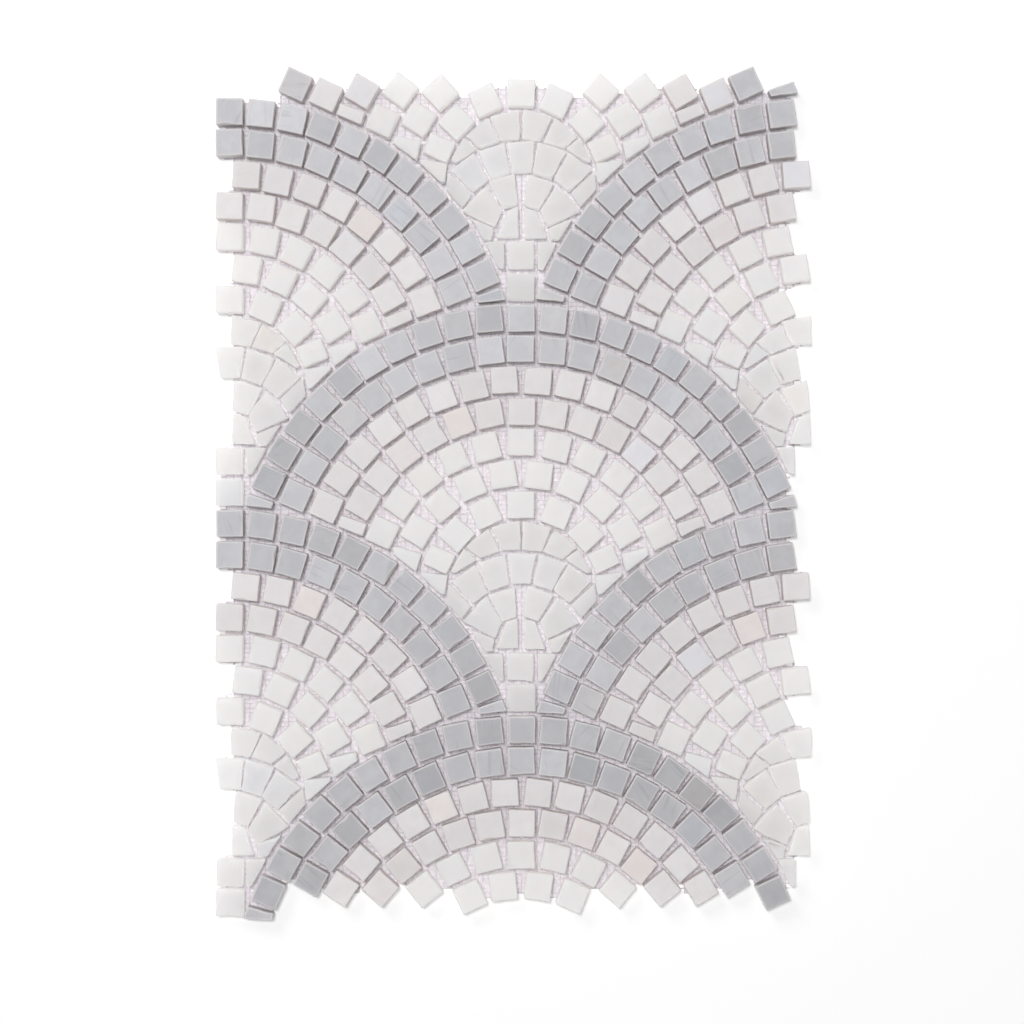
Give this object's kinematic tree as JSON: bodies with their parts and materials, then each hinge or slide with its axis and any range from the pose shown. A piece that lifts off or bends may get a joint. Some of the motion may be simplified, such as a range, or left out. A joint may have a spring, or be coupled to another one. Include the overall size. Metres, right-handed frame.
{
  "type": "fish scale marble mosaic sheet",
  "caption": "Net-backed marble mosaic sheet in a fish scale fan pattern, with interlocking edges, for bonding to a wall or floor.",
  "frame": {"origin": "middle of the sheet's box, on the underside of the net", "axes": "+Z out of the chips' faces; +Y along the sheet's long side, from a scale's stem to its crown; +X along the short side, to the right seen from the face"},
  "size_m": [0.2672, 0.3826, 0.0085],
  "materials": {
    "grey_marble": "honed",
    "blush_marble": "honed",
    "white_marble": "honed",
    "ivory_marble": "honed",
    "glass_fibre_net": "matte"
  },
  "bodies": {
    "root": {"bottom_scale_blush_band": "blush_marble", "bottom_scale_grey_border": "grey_marble", "bottom_scale_white_band": "white_marble", "centre_scale_blush_band": "blush_marble", "centre_scale_grey_border": "grey_marble", "centre_scale_ivory_shell": "ivory_marble", "centre_scale_white_band": "white_marble", "glass_fibre_net": "glass_fibre_net", "lower_left_scale_blush_band": "blush_marble", "lower_left_scale_grey_border": "grey_marble", "lower_left_scale_ivory_shell": "ivory_marble", "lower_left_scale_white_band": "white_marble", "lower_right_scale_blush_band": "blush_marble", "lower_right_scale_grey_border": "grey_marble", "lower_right_scale_ivory_shell": "ivory_marble", "lower_right_scale_white_band": "white_marble", "top_scale_blush_band": "blush_marble", "top_scale_grey_border": "grey_marble", "top_scale_ivory_shell": "ivory_marble", "top_scale_white_band": "white_marble", "upper_left_scale_blush_band": "blush_marble", "upper_left_scale_grey_border": "grey_marble", "upper_left_scale_ivory_shell": "ivory_marble", "upper_left_scale_white_band": "white_marble", "upper_right_scale_blush_band": "blush_marble", "upper_right_scale_grey_border": "grey_marble", "upper_right_scale_ivory_shell": "ivory_marble", "upper_right_scale_white_band": "white_marble"}
  },
  "joints": []
}
